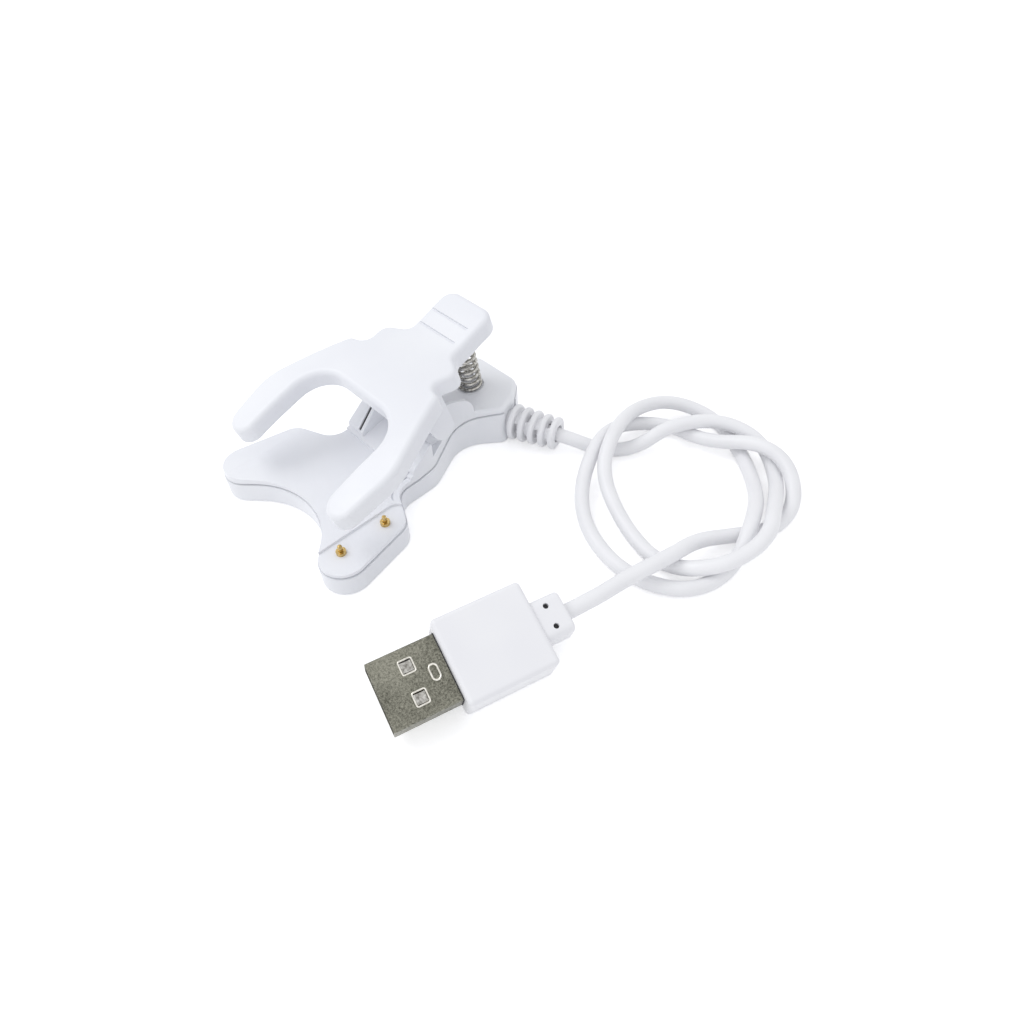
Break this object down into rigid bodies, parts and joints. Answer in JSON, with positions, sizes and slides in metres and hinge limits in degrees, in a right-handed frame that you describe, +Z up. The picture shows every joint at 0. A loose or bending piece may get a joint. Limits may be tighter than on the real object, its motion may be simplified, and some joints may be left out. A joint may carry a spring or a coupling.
{
  "type": "usb charging clip cable",
  "caption": "Spring clip with a forked jaw and spring contact pins, on a looped cord with a USB-A plug, for charging a wrist band.",
  "frame": {"origin": "middle of the clip's footprint, on the surface it stands on; the free cord and plug are left out of that footprint", "axes": "+X runs from the jaw's tips to the handles, +Y is the clip's left side with the cord leaving on the right, +Z is up"},
  "size_m": [0.099, 0.0937, 0.0294],
  "materials": {
    "shell_white": "satin",
    "cord_white": "satin",
    "plug_white": "gloss",
    "steel": "polished",
    "spring_steel": "drawn wire",
    "nickel": "satin",
    "brass": "plated",
    "gold": "polished",
    "solder": "satin",
    "board_green": "satin",
    "insulation_red": "satin",
    "insulation_black": "satin",
    "tongue_white": "matte"
  },
  "bodies": {
    "base": {"lower_shell": "shell_white", "tray_cover": "shell_white", "hinge_pin": "steel", "clip_spring": "spring_steel", "pin_barrel_front": "brass", "pin_barrel_rear": "brass", "pin_spring_front": "spring_steel", "pin_spring_rear": "spring_steel", "contact_board": "board_green", "lead_red": "insulation_red", "lead_black": "insulation_black", "solder_joints": "solder", "case_screws": "steel", "strain_relief": "cord_white", "charging_cord": "cord_white", "plug_housing": "plug_white", "plug_collar": "plug_white", "usb_shell": "nickel", "usb_tongue": "tongue_white", "usb_contacts": "gold", "plug_core": "tongue_white", "plug_lead_red": "insulation_red", "plug_lead_black": "insulation_black"},
    "jaw": {"upper_jaw": "shell_white"},
    "plunger_front": {"pin_plunger_front": "gold"},
    "plunger_rear": {"pin_plunger_rear": "gold"}
  },
  "joints": [
    {"name": "jaw_hinge", "type": "hinge", "parent": "base", "child": "jaw", "pos_m": [0.00585, 0, 0.013], "axis": [0, 1, 0], "range_deg": [0, 24], "stiffness_Nm_per_rad": 0.05, "springref_deg": -28.65, "deforming": ["clip_spring"]},
    {"name": "plunger_front_slide", "type": "slide", "parent": "base", "child": "plunger_front", "axis": [0, 0, -1], "range_m": [0, 0.0008], "stiffness_N_per_m": 500, "springref_m": -0.0003, "deforming": ["pin_spring_front"]},
    {"name": "plunger_rear_slide", "type": "slide", "parent": "base", "child": "plunger_rear", "axis": [0, 0, -1], "range_m": [0, 0.0008], "stiffness_N_per_m": 500, "springref_m": -0.0003, "deforming": ["pin_spring_rear"]}
  ]
}
